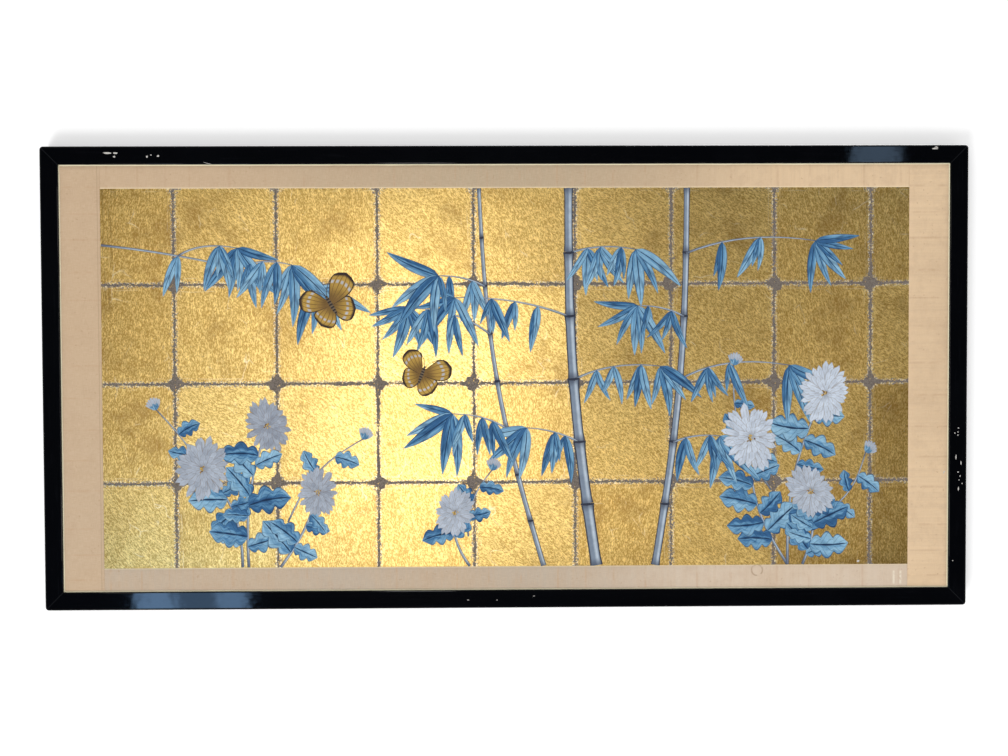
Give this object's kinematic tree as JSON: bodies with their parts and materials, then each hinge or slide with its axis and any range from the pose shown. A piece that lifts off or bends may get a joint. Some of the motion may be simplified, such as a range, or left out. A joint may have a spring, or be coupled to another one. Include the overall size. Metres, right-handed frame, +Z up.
{
  "type": "framed folding-screen panel",
  "caption": "Wide paper-covered lattice panel with gold-leaf face, silk border and mitred black lacquer frame, hung flat on a wall by two strap rings.",
  "frame": {"origin": "middle of the wall plane, which the back of the frame lies on", "axes": "+X to the right as the painting is seen, along the long side; +Y back to the wall; +Z up"},
  "size_m": [1.22, 0.028, 0.61],
  "materials": {
    "black_lacquer": "gloss black lacquer",
    "hardwood": "planed",
    "cedar": "planed, straight grain",
    "base_paper": "matt fibrous",
    "lining_paper": "matt cream",
    "painting": "matt mineral pigment",
    "mineral_pigment": "matt ground mineral colour in glue",
    "shell_white": "matt chalky white",
    "gold_leaf": "satin creped leaf",
    "silk": "soft sheen, plain weave",
    "back_paper": "matt printed paper",
    "steel": "plain",
    "brass": "satin plated"
  },
  "bodies": {
    "panel": {"frame_rail_top": "black_lacquer", "frame_rail_bottom": "black_lacquer", "frame_stile_left": "black_lacquer", "frame_stile_right": "black_lacquer", "screw_plugs": "black_lacquer", "mitre_key_top_left": "hardwood", "mitre_key_top_right": "hardwood", "mitre_key_bottom_left": "hardwood", "mitre_key_bottom_right": "hardwood", "core_rail_top": "cedar", "core_rail_bottom": "cedar", "core_stile_left": "cedar", "core_stile_right": "cedar", "lattice_bar_1": "cedar", "lattice_bar_2": "cedar", "lattice_bar_3": "cedar", "lattice_post_1": "cedar", "lattice_post_2": "cedar", "lattice_post_3": "cedar", "lattice_post_4": "cedar", "lattice_post_5": "cedar", "lattice_post_6": "cedar", "corner_block_top_left": "cedar", "corner_block_top_right": "cedar", "corner_block_bottom_left": "cedar", "corner_block_bottom_right": "cedar", "front_base_paper": "base_paper", "back_base_paper": "base_paper", "front_lining_paper": "lining_paper", "painting_sheet": "painting", "gold_leaf_squares": "gold_leaf", "silk_strip_left": "silk", "silk_strip_right": "silk", "silk_strip_top": "silk", "silk_strip_bottom": "silk", "back_cover_paper": "back_paper", "frame_screws": "steel", "hanger_strap_left": "brass", "hanger_strap_right": "brass", "hanger_screws_left": "brass", "hanger_screws_right": "brass"},
    "ring_left": {"hanger_ring_left": "brass"},
    "ring_right": {"hanger_ring_right": "brass"}
  },
  "joints": [
    {"name": "ring_left_swing", "type": "hinge", "parent": "panel", "child": "ring_left", "pos_m": [-0.573, -0.00367, 0.12], "axis": [1, 0, 0], "range_deg": [0, 176]},
    {"name": "ring_right_swing", "type": "hinge", "parent": "panel", "child": "ring_right", "pos_m": [0.573, -0.00367, 0.12], "axis": [1, 0, 0], "range_deg": [0, 176]}
  ]
}
